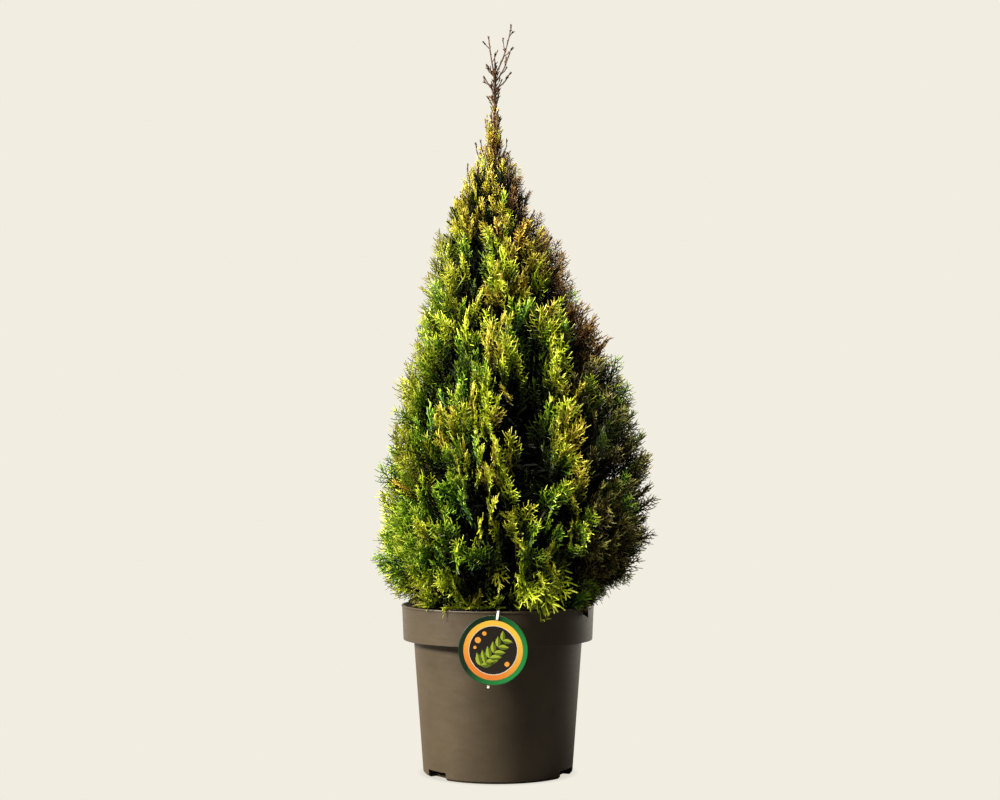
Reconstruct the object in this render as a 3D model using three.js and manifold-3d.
// A young golden-leaved thuja (a conical garden conifer) growing in a round ten-litre nursery pot.
//
// Millimetres, +Z up. The origin is the middle of the pot's flat underside, and -Y is the front.
// Azimuths are in degrees, counted from the front (-Y) towards the right (+X).
//
// The trunk stands on the potting soil and runs up through the whole crown. Each bough leaves the
// trunk and ends where it enters its mass of foliage. A mass is a small dense core with flat,
// toothed sprays standing out of it, and it keeps to its own space, which is everything that lies
// nearer to its middle than to the middle of any other mass.

import * as THREE from "three";
import { mergeVertices } from "three/addons/utils/BufferGeometryUtils.js";
import Module from "manifold-3d";

const wasm = await Module();
wasm.setup();

const FIT_GAP = 0.35; // between two pieces that touch on the real plant
const SPACE_GAP = 0.8; // a mass stays this far inside its own space
const SCRAP = 1e-3; // necks thinner than this don't join two bodies

// ---- pot, a thin-walled moulded container with a stepped rim band ----
const RIM_RADIUS = 140;
const POT_HEIGHT = 242;
const BAND_HEIGHT = 50;
const BAND_FOOT_RADIUS = 137;
const BODY_TOP_RADIUS = 122;
const FOOT_RADIUS = 108;
const WALL = 2.4;
const FLOOR = 3.5;
const FOOT_ROUNDING = 3;
const LIP_HEIGHT = 3;
const LIP_STAND_OUT = 0.9;
const POT_SIDES = 36;
const NOTCHES = 3;
const NOTCH_AZIMUTH = 66;
const NOTCH_WIDTH = 43;
const NOTCH_HEIGHT = 11;
const NOTCH_DEPTH = 15;

// ---- soil ----
const SOIL_TOP = POT_HEIGHT - 14;
const SOIL_EDGE_DROP = 4;
const SOIL_CLEARANCE = 1; // round the drain notches

// ---- hanging label on its strap ----
const LABEL_DIAMETER = 96;
const LABEL_THICKNESS = 1;
const LABEL_SIDES = 36;
const LABEL_AZIMUTH = -2.6;
const LABEL_TOP = POT_HEIGHT - 4.5;
const LABEL_STANDOFF = 2.2;
const STRAP_WIDTH = 3;
const STRAP_THICKNESS = 0.8;
const STRAP_SLANT = 7.5;
const STRAP_TAIL = 4;
const STRAP_HOOK = 11; // how far it hangs down inside the rim
const SLOT_DROP = 7; // from the label's top edge to its slot
const SLOT_WIDTH = 5;
const SLOT_HEIGHT = 4;

// ---- trunk ----
const TRUNK_FOOT = SOIL_TOP + FIT_GAP;
const TRUNK_TIP = 985;
const FLARE_RADIUS = 19;
const FLARE_HEIGHT = 34;
const TRUNK_RADIUS = 11.5;
const TIP_RADIUS = 1.9;
const TRUNK_PATH = new THREE.CatmullRomCurve3([
  new THREE.Vector3(0, 0, TRUNK_FOOT),
  new THREE.Vector3(0.6, 0, TRUNK_FOOT + 60),
  new THREE.Vector3(6, -3, 480),
  new THREE.Vector3(3, 3, 700),
  new THREE.Vector3(-6, 1, 900),
  new THREE.Vector3(-4, 0, TRUNK_TIP),
]);

// ---- crown: [height, radius] and [height, sideways shift of its middle] ----
const CROWN_RADIUS = [
  [240, 140],
  [300, 197],
  [340, 208],
  [450, 201],
  [600, 152],
  [714, 105],
  [772, 94],
  [801, 74],
  [905, 24],
  [985, 10],
];
const CROWN_TOP = 880; // the masses end here, and the leader's flanks go on
const CROWN_SHIFT = [
  [240, 6],
  [335, 24],
  [600, 24],
  [700, 3],
  [772, 0],
  [831, -9],
  [985, -5],
];

// ---- masses of foliage, tier by tier: how many, how high, where the first one stands, how far
// their middles lie out on the crown's radius, how far below them their boughs leave the trunk, and
// by how much they stand higher and lower in turn. The top tier's stems meet the trunk itself.
const TIERS = [
  { name: "skirt", count: 7, height: 306, azimuth: 10, out: 0.6, drop: 52, stagger: 9 },
  { name: "lower", count: 7, height: 440, azimuth: -17, out: 0.58, drop: 72, stagger: 20 },
  { name: "middle", count: 6, height: 586, azimuth: -19, out: 0.57, drop: 80, stagger: 20 },
  { name: "upper", count: 4, height: 716, azimuth: -66, out: 0.55, drop: 72, stagger: 16 },
  { name: "top", count: 3, height: 816, azimuth: -72, out: 0.5, drop: 34, stagger: 10, boughless: true },
];
const UPRIGHTNESS = 0.62; // how much less height counts than breadth when space is shared out
const CORE_FACE = 0.7; // how far a core reaches out, on the crown's radius
const CORE_BACK = 0.32; // and how far in
const CORE_GAP_BESIDE = 15; // from a core to the edge of its mass's space, level
const CORE_GAP_ABOVE = 5; // and upright
const STEM_LENGTH = 9;
const BOUGH_RADIUS = 4.6;
const BOUGH_TAPER = 0.62;
const BOUGH_SAG = 0.06; // of its length

// ---- sprays ----
const SPRAY_SPACING = 49;
const SPRAY_ROWS = [252, 868]; // the crown's surface is planted from the first height to the second
const TIP_REACH = [1.01, 1.08]; // the sprays' tips end between these shares of the crown's radius
const SPRAY_LENGTH = [
  [250, 92],
  [600, 98],
  [820, 72],
  [900, 52],
];
const CREST_TURNS = [-48, 0, 48]; // a mass's crest sprays stand this far to its sides, in degrees,
const CREST_RISE = 62; // and this steeply
const SPRAY_RISE = [
  [250, -18],
  [300, 30],
  [420, 50],
  [600, 58],
  [820, 66],
  [900, 74],
];
const SPRAY_WIDTH = 0.56; // of its length
const SPRAY_THICKNESS = 0.036; // of its length, at its middle
const ROOT_DEPTH = 0.74; // a root lies this share of the way from the core's middle to its skin
const FITS = [1, 0.85, 0.7, 0.58]; // the sizes that a spray is tried at, until it fits
const TURNS = [0, 35, -35, 70, -70]; // and the turns about its own length, in degrees
const EDGEWAYS = 75; // a level spray stands on edge, this far turned from facing outwards
const GROOVE = 0.13; // how far the crown dips in between two masses
const SEED = 20260;

// ---- leader: the tip of the crown ----
const FLANKS = 2;
const FLANK_FOOT = 874;
const FLANK_TIP = 972;
const FLANK_AZIMUTH = -72;
const FLANK_BLADES = 10;
const FLANK_BLADE_WIDTH = 0.36; // of its length
const GOLDEN_SHARE = 0.618; // spreads the blades' turns evenly
const TUFT_TIP = 1090;

const finish = (color, roughness) => new THREE.MeshStandardMaterial({ color, roughness, metalness: 0 });
const POT_PLASTIC = finish(0x4a4036, 0.45);
const SOIL_CRUMB = finish(0x2e2119, 0.95);
const BARK = finish(0x5a3d28, 0.9);
const FOLIAGE = finish(0x7f8f2a, 0.6);
const GOLDEN_FOLIAGE = finish(0xa3a035, 0.6);
const LABEL_CARD = finish(0x1f6a38, 0.3);
const STRAP_PLASTIC = finish(0xf0f0ea, 0.4);

// ---- small helpers ----
const radians = THREE.MathUtils.degToRad;
const UP = new THREE.Vector3(0, 0, 1);

/** Numbers between 0 and 1 that are the same on every run. */
function seeded(seed) {
  let state = seed >>> 0;
  return () => {
    state = (state + 0x6d2b79f5) >>> 0;
    let t = Math.imul(state ^ (state >>> 15), 1 | state);
    t = (t + Math.imul(t ^ (t >>> 7), 61 | t)) ^ t;
    return ((t ^ (t >>> 14)) >>> 0) / 4294967296;
  };
}
const random = seeded(SEED);
const between = (low, high) => low + (high - low) * random();

/** The value at x of a line drawn through [x, value] pairs. */
function along(pairs, x) {
  if (x <= pairs[0][0]) return pairs[0][1];
  for (let i = 1; i < pairs.length; i++) {
    const [x0, y0] = pairs[i - 1];
    const [x1, y1] = pairs[i];
    if (x <= x1) return y0 + ((y1 - y0) * (x - x0)) / (x1 - x0);
  }
  return pairs[pairs.length - 1][1];
}

/** The level direction at an azimuth. */
function outward(azimuth) {
  const a = radians(azimuth);
  return new THREE.Vector3(Math.sin(a), -Math.cos(a), 0);
}

/** The direction that rises at an angle above the level, towards an azimuth. */
function rising(azimuth, rise) {
  const [level, upright] = [Math.cos(radians(rise)), Math.sin(radians(rise))];
  return outward(azimuth).multiplyScalar(level).addScaledVector(UP, upright);
}

/** A closed geometry as a manifold-3d solid, with corners that nearly touch merged into one. */
function solidOf(geometry, tolerance = 1e-4) {
  const bare = geometry.clone();
  bare.deleteAttribute("normal");
  bare.deleteAttribute("uv");
  const merged = mergeVertices(bare, tolerance);
  return new wasm.Manifold(
    new wasm.Mesh({
      numProp: 3,
      vertProperties: merged.getAttribute("position").array,
      triVerts: new Uint32Array(merged.index.array),
    }),
  );
}

/** A manifold-3d solid as a three.js geometry. */
function geometryOf(solid) {
  const mesh = solid.getMesh();
  const positions = new Float32Array(mesh.numVert * 3);
  for (let i = 0; i < mesh.numVert; i++) {
    positions.set(mesh.vertProperties.subarray(i * mesh.numProp, i * mesh.numProp + 3), i * 3);
  }
  const geometry = new THREE.BufferGeometry();
  geometry.setAttribute("position", new THREE.BufferAttribute(positions, 3));
  geometry.setIndex(new THREE.BufferAttribute(mesh.triVerts, 1));
  geometry.computeVertexNormals();
  return geometry;
}

/** A geometry from points and triangles. */
function faceted(points, triangles) {
  const geometry = new THREE.BufferGeometry();
  geometry.setAttribute("position", new THREE.Float32BufferAttribute(points.flatMap((p) => p.toArray()), 3));
  geometry.setIndex(triangles.flat());
  return geometry;
}

/** The largest of the separate bodies in a solid, so that loose scraps are dropped. */
function largestBody(solid) {
  const bodies = solidOf(geometryOf(solid), SCRAP).decompose();
  return bodies.reduce((best, body) => (body.volume() > best.volume() ? body : best));
}

/** A closed, tapering limb along points, with a radius for each and flat ends. */
function limb(points, radii, sides) {
  const rings = [];
  let side = new THREE.Vector3(1, 0, 0);
  points.forEach((point, i) => {
    const before = points[Math.max(i - 1, 0)];
    const after = points[Math.min(i + 1, points.length - 1)];
    const ahead = after.clone().sub(before).normalize();
    side.addScaledVector(ahead, -side.dot(ahead)).normalize();
    const other = ahead.clone().cross(side);
    for (let k = 0; k < sides; k++) {
      const angle = (2 * Math.PI * k) / sides;
      const spoke = side.clone().multiplyScalar(Math.cos(angle)).addScaledVector(other, Math.sin(angle));
      rings.push(point.clone().addScaledVector(spoke, radii[i]));
    }
  });
  const triangles = [];
  const last = (points.length - 1) * sides;
  for (let k = 0; k < sides; k++) {
    const next = (k + 1) % sides;
    for (let i = 0; i < points.length - 1; i++) {
      const [a, b, c, d] = [i * sides + k, i * sides + next, (i + 1) * sides + k, (i + 1) * sides + next];
      triangles.push([a, b, d], [a, d, c]);
    }
    if (k > 0 && k < sides - 1) triangles.push([0, k + 1, k], [last, last + k, last + k + 1]);
  }
  return faceted(rings, triangles);
}

/** Outlines of sprays, as [share of the length, share of the half width]. */
const TOOTHED = [
  [0, 0],
  [0.32, -0.68],
  [0.45, -0.36],
  [0.62, -1],
  [0.74, -0.38],
  [1, 0],
  [0.82, 0.42],
  [0.72, 0.98],
  [0.54, 0.38],
  [0.4, 0.76],
];
const SLENDER = [
  [0, 0],
  [0.6, -1],
  [1, 0],
  [0.75, 0.9],
];

/** A flat spray from root to tip: a two-sided blade, thickest at its middle. */
function spray(root, tip, facing, width, outline = TOOTHED, thickness = SPRAY_THICKNESS) {
  const length = root.distanceTo(tip);
  const ahead = tip.clone().sub(root).normalize();
  const normal = facing.clone().addScaledVector(ahead, -facing.dot(ahead)).normalize();
  const across = normal.clone().cross(ahead);
  const place = (u, v) => {
    const spine = root.clone().addScaledVector(ahead, u * length);
    return spine.addScaledVector(across, (v * width) / 2);
  };
  const points = outline.map(([u, v]) => place(u, v));
  const count = points.length;
  const swell = (length * thickness) / 2;
  const middle = place(0.6, 0);
  points.push(middle.clone().addScaledVector(normal, swell), middle.clone().addScaledVector(normal, -swell));
  const triangles = [];
  for (let i = 0; i < count; i++) {
    const next = (i + 1) % count;
    triangles.push([i, next, count], [next, i, count + 1]);
  }
  return { points, geometry: faceted(points, triangles) };
}

// ---- pot ----
function potProfile() {
  const bandFoot = POT_HEIGHT - BAND_HEIGHT;
  return [
    [0, 0],
    [FOOT_RADIUS - FOOT_ROUNDING, 0],
    [FOOT_RADIUS, FOOT_ROUNDING],
    [BODY_TOP_RADIUS, bandFoot],
    [BAND_FOOT_RADIUS - 1, bandFoot],
    [BAND_FOOT_RADIUS, bandFoot + 1],
    [RIM_RADIUS - LIP_STAND_OUT, POT_HEIGHT - LIP_HEIGHT],
    [RIM_RADIUS, POT_HEIGHT - LIP_HEIGHT + 0.5],
    [RIM_RADIUS, POT_HEIGHT],
    [RIM_RADIUS - LIP_STAND_OUT - WALL, POT_HEIGHT],
    [BAND_FOOT_RADIUS - WALL, bandFoot + WALL],
    [BODY_TOP_RADIUS - WALL, bandFoot + WALL],
    [FOOT_RADIUS - WALL, FLOOR],
    [0, FLOOR],
  ];
}

function turned(profile) {
  const lathe = new THREE.LatheGeometry(
    profile.map(([r, z]) => new THREE.Vector2(r, z)),
    POT_SIDES,
  );
  return solidOf(lathe.rotateX(Math.PI / 2));
}

/** The blocks that cut the drain notches, wider and higher by grow on each side. */
function drainBlocks(grow) {
  const blocks = [];
  for (let i = 0; i < NOTCHES; i++) {
    const azimuth = NOTCH_AZIMUTH + (360 / NOTCHES) * i;
    const block = new THREE.BoxGeometry(
      NOTCH_WIDTH + 2 * grow,
      2 * (NOTCH_DEPTH + grow),
      2 * (NOTCH_HEIGHT + grow),
    );
    block.rotateZ(radians(azimuth));
    const at = outward(azimuth).multiplyScalar(FOOT_RADIUS);
    blocks.push(solidOf(block.translate(at.x, at.y, 0)));
  }
  return blocks;
}

const cutAll = (solid, cutters) => cutters.reduce((left, cutter) => left.subtract(cutter), solid);
const potSolid = () => cutAll(turned(potProfile()), drainBlocks(0));

// ---- soil ----
function soilSolid() {
  const bandFoot = POT_HEIGHT - BAND_HEIGHT;
  const inside = WALL + FIT_GAP;
  const edge = SOIL_TOP - SOIL_EDGE_DROP;
  const edgeRadius = along(
    [
      [bandFoot + WALL, BAND_FOOT_RADIUS],
      [POT_HEIGHT, RIM_RADIUS - LIP_STAND_OUT],
    ],
    edge,
  );
  const profile = [
    [0, FLOOR + FIT_GAP],
    [FOOT_RADIUS - inside, FLOOR + FIT_GAP],
    [BODY_TOP_RADIUS - inside, bandFoot + WALL + FIT_GAP],
    [BAND_FOOT_RADIUS - inside, bandFoot + WALL + FIT_GAP],
    [edgeRadius - inside, edge],
    [FLARE_RADIUS + 8, SOIL_TOP],
    [0, SOIL_TOP],
  ];
  return cutAll(turned(profile), drainBlocks(SOIL_CLEARANCE));
}

// ---- label and strap ----
const labelTilt = radians(LABEL_AZIMUTH);
const labelMiddle = outward(LABEL_AZIMUTH).multiplyScalar(RIM_RADIUS + LABEL_STANDOFF + LABEL_THICKNESS / 2);
labelMiddle.z = LABEL_TOP - LABEL_DIAMETER / 2;

/** The strap's sideways place, in the label's plane, at a height above the label's middle. */
const strapAcross = (height) => height * Math.tan(radians(STRAP_SLANT));
const slotHeight = LABEL_DIAMETER / 2 - SLOT_DROP;

function labelSolid() {
  const disc = new THREE.CylinderGeometry(LABEL_DIAMETER / 2, LABEL_DIAMETER / 2, LABEL_THICKNESS, LABEL_SIDES);
  const slot = new THREE.BoxGeometry(SLOT_WIDTH, 4 * LABEL_THICKNESS, SLOT_HEIGHT);
  slot.translate(strapAcross(slotHeight), 0, slotHeight);
  return solidOf(disc)
    .subtract(solidOf(slot))
    .transform(new THREE.Matrix4().makeRotationZ(labelTilt).setPosition(labelMiddle).toArray());
}

/** A strip bent along its length: it hooks over the rim, passes through the slot and hangs behind. */
function strapSolid() {
  const half = STRAP_THICKNESS / 2;
  const behind = LABEL_THICKNESS / 2 + FIT_GAP + half;
  const rimTop = POT_HEIGHT - labelMiddle.z;
  const overRim = rimTop + FIT_GAP + half;
  const inside = LABEL_STANDOFF + LABEL_THICKNESS / 2 + LIP_STAND_OUT + WALL + 2 * half + FIT_GAP;
  const threading = SLOT_HEIGHT / 4;
  const route = [
    [inside, rimTop - STRAP_HOOK],
    [inside, overRim],
    [behind, overRim],
    [-behind, LABEL_DIAMETER / 2 - 1],
    [-behind, slotHeight + threading],
    [behind, slotHeight - threading],
    [behind, -LABEL_DIAMETER / 2 - STRAP_TAIL],
  ];
  const outer = [];
  const inner = [];
  route.forEach(([y, z], i) => {
    const [y0, z0] = route[Math.max(i - 1, 0)];
    const [y1, z1] = route[Math.min(i + 1, route.length - 1)];
    const into = new THREE.Vector2(y - y0, z - z0).normalize();
    const out = new THREE.Vector2(y1 - y, z1 - z).normalize();
    const ahead = into.clone().add(out).normalize();
    const reach = half / Math.max(ahead.dot(i ? into : out), 0.6);
    outer.push(new THREE.Vector2(y - ahead.y * reach, z + ahead.x * reach));
    inner.unshift(new THREE.Vector2(y + ahead.y * reach, z - ahead.x * reach));
  });
  const strip = new THREE.ExtrudeGeometry(new THREE.Shape([...outer, ...inner]), {
    depth: STRAP_WIDTH,
    bevelEnabled: false,
  });
  // The outline was drawn in (y, z), so its x, y and depth become y, z and x.
  const stand = new THREE.Matrix4().set(0, 0, 1, -STRAP_WIDTH / 2, 1, 0, 0, 0, 0, 1, 0, 0, 0, 0, 0, 1);
  strip.applyMatrix4(stand);
  const lean = Math.tan(radians(STRAP_SLANT));
  strip.applyMatrix4(new THREE.Matrix4().set(1, 0, lean, 0, 0, 1, 0, 0, 0, 0, 1, 0, 0, 0, 0, 1));
  strip.applyMatrix4(new THREE.Matrix4().makeRotationZ(labelTilt).setPosition(labelMiddle));
  return solidOf(strip);
}

// ---- trunk ----
/** The trunk's radius at a height: a root flare that dies away, then an even taper. */
function trunkRadius(height) {
  const share = THREE.MathUtils.clamp((height - TRUNK_FOOT) / (TRUNK_TIP - TRUNK_FOOT), 0, 1);
  const flare = (FLARE_RADIUS - TRUNK_RADIUS) * Math.exp((-3 * (height - TRUNK_FOOT)) / FLARE_HEIGHT);
  return TRUNK_RADIUS + (TIP_RADIUS - TRUNK_RADIUS) * share + flare;
}

/** The trunk's middle at a height. */
function trunkAt(height) {
  let low = 0;
  let high = 1;
  for (let i = 0; i < 24; i++) {
    const middle = (low + high) / 2;
    if (TRUNK_PATH.getPoint(middle).z < height) low = middle;
    else high = middle;
  }
  return TRUNK_PATH.getPoint(low);
}

/** The trunk, fatter by grow all round. */
function trunkSolid(grow = 0) {
  const heights = [0, 7, 18, 40];
  for (let rise = 110; rise < TRUNK_TIP - TRUNK_FOOT - 40; rise += 85) heights.push(rise);
  heights.push(TRUNK_TIP - TRUNK_FOOT);
  const points = heights.map((rise) => trunkAt(TRUNK_FOOT + rise));
  points[0].set(0, 0, TRUNK_FOOT);
  points[1].set(0, 0, TRUNK_FOOT + heights[1]);
  const radii = points.map((p) => trunkRadius(p.z) + grow);
  return solidOf(limb(points, radii, 10));
}

// ---- the masses' middles and spaces ----
function crownAxis(height) {
  return new THREE.Vector3(along(CROWN_SHIFT, height), 0, height);
}

const masses = TIERS.flatMap((tier) =>
  Array.from({ length: tier.count }, (_, i) => {
    const azimuth = tier.azimuth + (360 / tier.count) * i + between(-3, 3);
    const height = tier.height + (i % 2 ? tier.stagger : -tier.stagger) + between(-4, 4);
    const reach = tier.out * along(CROWN_RADIUS, height);
    const middle = crownAxis(height).addScaledVector(outward(azimuth), reach);
    return { tier, name: `${tier.name}_${i + 1}`, azimuth, middle };
  }),
);

/** The planes that bound a mass's space: a point is inside where every distance is negative. */
function boundsOf(mass) {
  const shrink = new THREE.Vector3(1, 1, UPRIGHTNESS * UPRIGHTNESS);
  const planes = masses
    .filter((other) => other !== mass)
    .map((other) => {
      const normal = other.middle.clone().sub(mass.middle).multiply(shrink).normalize();
      const halfway = other.middle.clone().add(mass.middle).multiplyScalar(0.5);
      return { normal, offset: normal.dot(halfway) };
    });
  planes.push({ normal: UP.clone().negate(), offset: -(POT_HEIGHT + FIT_GAP) });
  planes.push({ normal: UP, offset: CROWN_TOP });
  return planes;
}

const isInside = (point, planes, margin) => planes.every((p) => p.normal.dot(point) - p.offset < -margin);

/** How far a mass's core reaches from its middle in a direction. */
function coreReach(mass, direction) {
  let reach = 300;
  for (const plane of mass.bounds) {
    const rate = plane.normal.dot(direction);
    const gap = THREE.MathUtils.lerp(CORE_GAP_BESIDE, CORE_GAP_ABOVE, Math.abs(plane.normal.z));
    const room = plane.offset - gap - plane.normal.dot(mass.middle);
    if (rate > 1e-6) reach = Math.min(reach, room / rate);
  }
  // Halve the way until the end lies between the crown's inner and outer surfaces.
  let near = 0;
  let far = reach;
  for (let i = 0; i < 16; i++) {
    const middle = (near + far) / 2;
    if (isCoreDepth(mass.middle.clone().addScaledVector(direction, middle))) near = middle;
    else far = middle;
  }
  return near;
}

/** How far out a point lies, as a share of the crown's radius. */
function depthAt(point) {
  const axis = crownAxis(point.z);
  return Math.hypot(point.x - axis.x, point.y) / along(CROWN_RADIUS, point.z);
}

const isCrown = (point) => depthAt(point) < 1;
const isCoreDepth = (point) => depthAt(point) > CORE_BACK && depthAt(point) < CORE_FACE;

function coreSolid(mass) {
  const ball = mergeVertices(stripped(new THREE.OctahedronGeometry(1, 1)), 1e-4);
  const place = ball.getAttribute("position");
  const p = new THREE.Vector3();
  for (let i = 0; i < place.count; i++) {
    p.fromBufferAttribute(place, i).normalize();
    const reach = coreReach(mass, p);
    p.multiplyScalar(reach).add(mass.middle);
    place.setXYZ(i, p.x, p.y, p.z);
  }
  return solidOf(ball);
}

function stripped(geometry) {
  geometry.deleteAttribute("normal");
  geometry.deleteAttribute("uv");
  return geometry;
}

// ---- boughs and stems ----
/** A bough leaves the trunk below its mass and ends a stem's length short of the core. */
function plantBough(mass) {
  const from = trunkAt(Math.max(mass.middle.z - mass.tier.drop, TRUNK_FOOT + 14));
  const inward = from.clone().sub(mass.middle).normalize();
  const skin = mass.middle.clone().addScaledVector(inward, coreReach(mass, inward));
  const stemFoot = skin.clone().addScaledVector(inward, STEM_LENGTH);
  const foot = BOUGH_RADIUS * Math.min(trunkRadius(from.z) / TRUNK_RADIUS, 1.05);
  const tip = foot * BOUGH_TAPER;
  mass.bough = { from, end: stemFoot.clone().addScaledVector(inward, FIT_GAP), foot, tip };
  mass.stem = { foot: mass.tier.boughless ? from : stemFoot, inward, radius: tip };
}

/** The bough, fatter by grow all round: it sags a little, then runs straight into its stem. */
function boughSolid(mass, grow = 0) {
  const { from, end, foot, tip } = mass.bough;
  const length = from.distanceTo(end);
  const points = [from, from.clone().lerp(end, 0.45), end.clone(), end];
  points[1].z -= BOUGH_SAG * length;
  points[2].addScaledVector(mass.stem.inward, 0.12 * length);
  const radii = [foot, THREE.MathUtils.lerp(foot, tip, 0.45), tip, tip].map((radius) => radius + grow);
  return solidOf(limb(points, radii, 6));
}

/** A mass's stem, from its bough's tip (or the trunk) to well inside its core. */
function stemSolid(mass, grow = 0) {
  const { foot, inward, radius } = mass.stem;
  const middle = mass.middle.clone().addScaledVector(inward, radius);
  return solidOf(limb([foot, middle], [radius + grow, radius + grow], 6));
}

// ---- planting the sprays ----
/** The tips that the sprays reach for, spread evenly over the crown's surface. */
function surfaceAims() {
  const aims = [];
  let row = 0;
  for (let height = SPRAY_ROWS[0]; height < SPRAY_ROWS[1]; row++) {
    const radius = along(CROWN_RADIUS, height);
    const count = Math.max(5, Math.round((2 * Math.PI * radius) / SPRAY_SPACING));
    for (let i = 0; i < count; i++) {
      const azimuth = (360 * (i + (row % 2) / 2)) / count + between(-6, 6);
      const level = height + between(-10, 10);
      const reach = along(CROWN_RADIUS, level) * between(...TIP_REACH);
      const point = crownAxis(level).addScaledVector(outward(azimuth), reach);
      aims.push({ azimuth, point, rise: along(SPRAY_RISE, level) + between(-10, 10) });
    }
    height += SPRAY_SPACING * (radius < 80 ? 0.7 : 0.86);
  }
  return aims;
}

/** The tips of the sprays that stand on a mass's top and close the gap to the mass above. */
function crestAims(mass) {
  return CREST_TURNS.map((turn) => {
    const azimuth = mass.azimuth + turn + between(-8, 8);
    const rise = CREST_RISE + between(-6, 6);
    const way = rising(azimuth, rise);
    let reach = 0;
    const point = mass.middle.clone();
    while (isInside(point, mass.bounds, 2) && isCrown(point) && reach < 200) {
      reach += 2;
      point.addScaledVector(way, 2);
    }
    return { azimuth, point: point.addScaledVector(way, -3), rise };
  });
}

/** How far apart two places are when space is shared out. */
function shareDistance(a, b) {
  return Math.hypot(a.x - b.x, a.y - b.y, UPRIGHTNESS * (a.z - b.z));
}

/** The root and tip of the spray that reaches for a point. */
function spraySpan(mass, aim, size) {
  const length = along(SPRAY_LENGTH, aim.point.z) * size;
  // A smaller spray draws its tip in towards the mass's middle as well.
  const tip = mass.middle.clone().lerp(aim.point, 0.5 + size / 2);
  const root = tip.clone().addScaledVector(rising(aim.azimuth, aim.rise), -length);
  const fromMiddle = root.clone().sub(mass.middle);
  const reach = coreReach(mass, fromMiddle.clone().normalize()) * ROOT_DEPTH;
  if (fromMiddle.length() > reach) root.copy(mass.middle).addScaledVector(fromMiddle.normalize(), reach);
  return { root, tip };
}

/** The volume that two solids share, where their boxes meet at all. */
function sharedVolume(a, b) {
  const [p, q] = [a.boundingBox(), b.boundingBox()];
  const apart = [0, 1, 2].some((k) => p.min[k] > q.max[k] || q.min[k] > p.max[k]);
  return apart ? 0 : a.intersect(b).volume();
}

/** The largest blade for an aim that stays in its space, clear of limbs and of its sisters. */
function fitSpray(mass, aim, limbs) {
  const level = THREE.MathUtils.clamp(1 - aim.rise / 45, 0, 1);
  const turn = between(-30, 30) + EDGEWAYS * level * (random() < 0.5 ? -1 : 1);
  for (const size of FITS) {
    const { root, tip } = spraySpan(mass, aim, size);
    const width = SPRAY_WIDTH * root.distanceTo(tip);
    for (const more of TURNS) {
      const blade = spray(root, tip, outward(aim.azimuth + turn + more), width);
      if (!blade.points.every((p) => isInside(p, mass.bounds, SPACE_GAP))) continue;
      const solid = solidOf(blade.geometry);
      if (limbs.some((limb) => limb.owner !== mass && sharedVolume(solid, limb.solid) > 0)) continue;
      const shown = solid.subtract(mass.core);
      if (mass.shown.some((sister) => sharedVolume(shown, sister) > 0)) continue;
      mass.shown.push(shown);
      return solid;
    }
  }
  return null;
}

/** Plants a spray in a mass, where one fits. */
function plant(mass, aim, limbs) {
  const solid = fitSpray(mass, aim, limbs);
  if (solid) mass.sprays.push(solid);
}

function plantSprays(limbs) {
  for (const mass of masses) crestAims(mass).forEach((aim) => plant(mass, aim, limbs));
  for (const aim of surfaceAims()) {
    const near = masses
      .map((mass) => ({ mass, distance: shareDistance(mass.middle, aim.point) }))
      .sort((a, b) => a.distance - b.distance);
    const crowding = THREE.MathUtils.clamp(2 * (near[0].distance / near[1].distance) - 1, 0, 1);
    aim.point.lerp(crownAxis(aim.point.z), GROOVE * crowding * crowding);
    plant(near[0].mass, aim, limbs);
  }
}

// ---- leader: two flanks of upright sprays beside the trunk's tip, and the tuft above it ----
/** A flank: a thin stem that leaves the trunk and runs up beside it, with blades along it. */
function flankSolid(index) {
  const azimuth = FLANK_AZIMUTH + (360 / FLANKS) * index;
  const side = outward(azimuth);
  const beside = (share, out) => {
    const height = THREE.MathUtils.lerp(FLANK_FOOT, FLANK_TIP, share);
    return trunkAt(height).addScaledVector(side, trunkRadius(height) + out);
  };
  const route = [beside(0, 0), beside(0.12, 4.6), beside(0.4, 4.4), beside(0.7, 3.4), beside(1, 3)];
  const stem = solidOf(limb(route, [1.9, 1.7, 1.4, 1, 0.6], 4)).subtract(trunkSolid(FIT_GAP));
  const blades = [];
  for (let i = 0; i < FLANK_BLADES; i++) {
    const share = 0.05 + (0.88 * i) / FLANK_BLADES;
    const turn = azimuth + 140 * (((i * GOLDEN_SHARE) % 1) - 0.5);
    const root = beside(share, 3.9);
    const length = THREE.MathUtils.lerp(50, 20, share) * between(0.88, 1.1);
    const growth = rising(turn, THREE.MathUtils.lerp(58, 76, share) + between(-6, 6));
    const tip = root.clone().addScaledVector(growth, length);
    const blade = spray(root, tip, outward(turn + 90), FLANK_BLADE_WIDTH * length);
    const isClear = blade.points.every((p) => {
      const fromTrunk = p.clone().sub(trunkAt(p.z));
      return fromTrunk.length() > trunkRadius(p.z) + SPACE_GAP && fromTrunk.dot(side) > SPACE_GAP;
    });
    if (isClear) blades.push(solidOf(blade.geometry));
  }
  return largestBody(blades.reduce((all, blade) => all.add(blade), stem));
}

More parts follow.
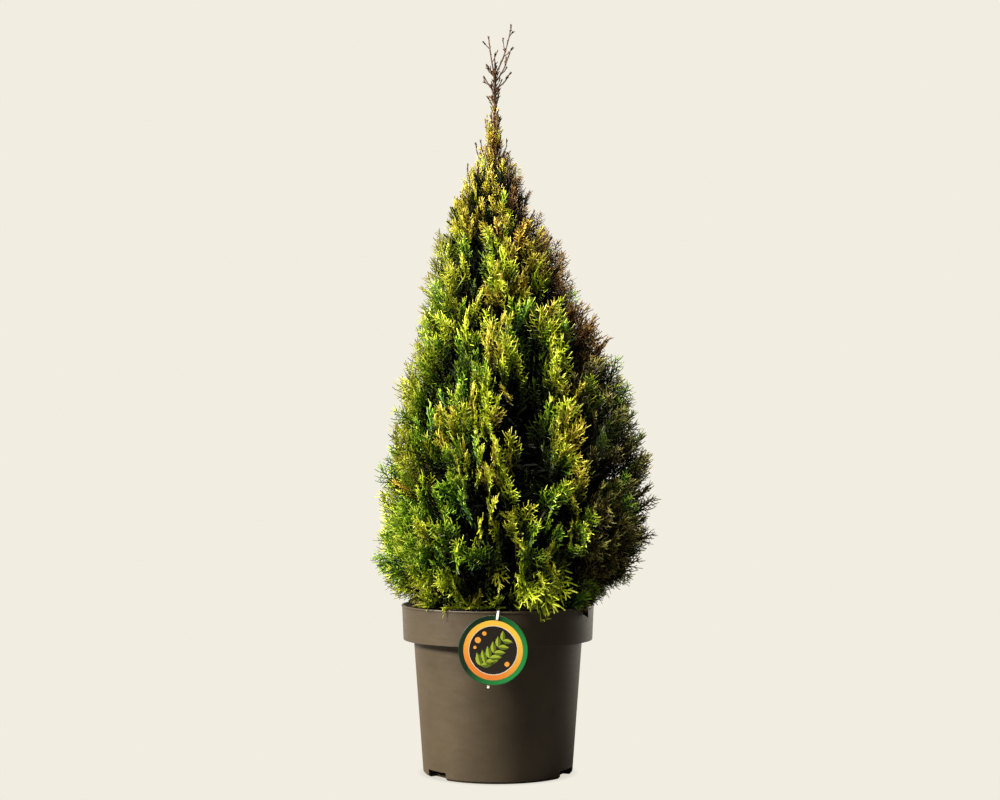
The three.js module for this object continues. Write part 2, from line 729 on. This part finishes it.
/** The shoots above the trunk's tip. Each starts at a share of the tuft's stem, leans away from
 * upright towards an azimuth, and has a length as a share of the tuft's height. */
const TUFT_SHOOTS = [
  { start: 0.9, azimuth: 88, lean: 24, length: 0.78 },
  { start: 0.75, azimuth: -84, lean: 9, length: 0.58 },
  { start: 0.6, azimuth: 74, lean: 32, length: 0.42 },
  { start: 0.3, azimuth: 100, lean: 44, length: 0.34 },
  { start: 0.2, azimuth: -96, lean: 44, length: 0.22 },
  { start: 0.7, azimuth: -10, lean: 16, length: 0.4 },
  { start: 0.5, azimuth: 176, lean: 18, length: 0.46 },
];
const TUFT_STEM = 0.3; // of the tuft's height
const TWIG_RADIUS = 1.15;
const TWIG_END = 13;
const TWIG_END_WIDTH = 4.5;

/** A forking shoot: a twig that bends upwards, with a leafy end and one leafy side twig. */
function shootSolids(from, direction, side, length) {
  const bend = from.clone().addScaledVector(direction, length * 0.5);
  const upwards = direction.clone().addScaledVector(UP, 0.4).normalize();
  const end = bend.clone().addScaledVector(upwards, length * 0.5);
  const forkWay = direction.clone().addScaledVector(side, 0.65).normalize();
  const forkEnd = bend.clone().addScaledVector(forkWay, length * 0.26);
  const radii = [TWIG_RADIUS, TWIG_RADIUS * 0.8, TWIG_RADIUS * 0.6];
  const twigs = [limb([from, bend, end], radii, 3), limb([bend, forkEnd], radii.slice(1), 3)];
  const leafy = [
    [end, upwards],
    [forkEnd, forkWay],
  ].map(([foot, way]) => {
    const back = foot.clone().addScaledVector(way, -TWIG_END / 3);
    const tip = foot.clone().addScaledVector(way, TWIG_END);
    return spray(back, tip, side.clone().cross(way), TWIG_END_WIDTH, SLENDER, 0.12).geometry;
  });
  return [...twigs, ...leafy].map(solidOf);
}

function tuftSolid() {
  const height = TUFT_TIP - TRUNK_TIP;
  const foot = trunkAt(TRUNK_TIP).addScaledVector(UP, FIT_GAP);
  const top = foot.clone().addScaledVector(UP, TUFT_STEM * height);
  const parts = [solidOf(limb([foot, top], [TIP_RADIUS, TIP_RADIUS * 0.8], 6))];
  for (const shoot of TUFT_SHOOTS) {
    const direction = rising(shoot.azimuth, 90 - shoot.lean);
    const from = foot.clone().lerp(top, shoot.start).addScaledVector(direction, -1);
    const side = direction.clone().cross(outward(shoot.azimuth + 90)).normalize();
    parts.push(...shootSolids(from, direction, side, shoot.length * height));
  }
  return largestBody(parts.reduce((all, part) => all.add(part)));
}

// ---- putting it together ----
function named(name, solid, material) {
  const mesh = new THREE.Mesh(geometryOf(solid), material);
  mesh.name = name;
  return mesh;
}

const thuja = new THREE.Group();
thuja.add(named("pot", potSolid(), POT_PLASTIC));
thuja.add(named("soil", soilSolid(), SOIL_CRUMB));
thuja.add(named("label", labelSolid(), LABEL_CARD));
thuja.add(named("label_strap", strapSolid(), STRAP_PLASTIC));
thuja.add(named("trunk", trunkSolid(), BARK));

for (const mass of masses) {
  mass.bounds = boundsOf(mass);
  mass.core = coreSolid(mass);
  mass.sprays = [];
  mass.shown = [];
  plantBough(mass);
}
const clearance = SPACE_GAP / 2;
const limbs = [{ owner: null, solid: trunkSolid(SPACE_GAP) }];
for (const mass of masses) {
  if (!mass.tier.boughless) limbs.push({ owner: null, solid: boughSolid(mass, clearance) });
  limbs.push({ owner: mass, solid: stemSolid(mass, clearance) });
}
plantSprays(limbs);

const trunkRoom = trunkSolid(FIT_GAP);
for (const mass of masses) {
  const stem = stemSolid(mass).subtract(trunkRoom);
  if (!mass.tier.boughless) {
    thuja.add(named(`bough_${mass.name}`, largestBody(boughSolid(mass).subtract(trunkRoom)), BARK));
  }
  const body = mass.sprays.reduce((all, one) => all.add(one), mass.core.add(stem));
  thuja.add(named(`foliage_${mass.name}`, largestBody(body), FOLIAGE));
}
for (let i = 0; i < FLANKS; i++) {
  thuja.add(named(`foliage_leader_${i + 1}`, flankSolid(i), GOLDEN_FOLIAGE));
}
thuja.add(named("tip_twigs", tuftSolid(), GOLDEN_FOLIAGE));

export default thuja;
